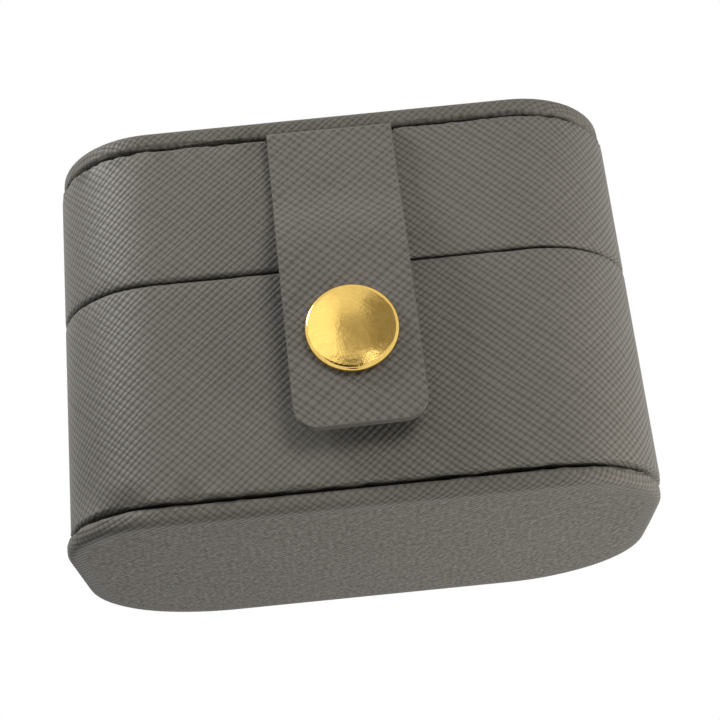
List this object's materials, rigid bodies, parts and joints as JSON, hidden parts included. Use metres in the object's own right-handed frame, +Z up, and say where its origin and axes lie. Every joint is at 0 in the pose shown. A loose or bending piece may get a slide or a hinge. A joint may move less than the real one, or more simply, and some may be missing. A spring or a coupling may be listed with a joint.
{
  "type": "ring box",
  "caption": "Small leatherette ring box with rounded ends, a lid on a leather hinge, a snap strap in front and velvet ring cushions inside.",
  "frame": {"origin": "middle of the bottom face, which the box stands on", "axes": "+X to the viewer's right along the width, -Y the front with the strap, +Y the hinge side, +Z up"},
  "size_m": [0.075, 0.0504, 0.0542],
  "materials": {
    "saffiano": "cross-hatch embossed leatherette, satin, warm grey",
    "board": "plain greyboard",
    "suede": "short suede, warm grey",
    "velvet": "short velvet, warm grey",
    "foam": "foam, matt",
    "gilt": "polished gold plate",
    "spring_steel": "drawn wire"
  },
  "bodies": {
    "base": {"bottom_board": "board", "bottom_cover": "saffiano", "base_wall_board": "board", "base_wall_cover": "saffiano", "base_liner": "suede", "roll_bed": "foam", "ring_roll_1": "velvet", "ring_roll_2": "velvet", "ring_roll_3": "velvet", "ring_roll_4": "velvet", "snap_stud": "gilt", "snap_post": "gilt", "hinge_strip": "saffiano"},
    "lid": {"lid_wall_board": "board", "lid_wall_cover": "saffiano", "top_board": "board", "top_cover": "saffiano", "lid_liner": "suede", "lid_pad": "velvet", "strap_root": "saffiano"},
    "strap": {"strap_backing": "saffiano", "strap_core": "board", "strap_outer": "saffiano", "snap_cap": "gilt", "snap_socket": "gilt", "snap_spring": "spring_steel"}
  },
  "joints": [
    {"name": "lid_hinge", "type": "hinge", "parent": "base", "child": "lid", "pos_m": [0, 0.0225, 0.0317], "axis": [-1, 0, 0], "range_deg": [0, 110], "deforming": ["hinge_strip"]},
    {"name": "strap_hinge", "type": "hinge", "parent": "lid", "child": "strap", "pos_m": [0, -0.02335, 0.0493], "axis": [-1, 0, 0], "range_deg": [0, 160], "deforming": ["strap_root", "snap_spring"]}
  ]
}
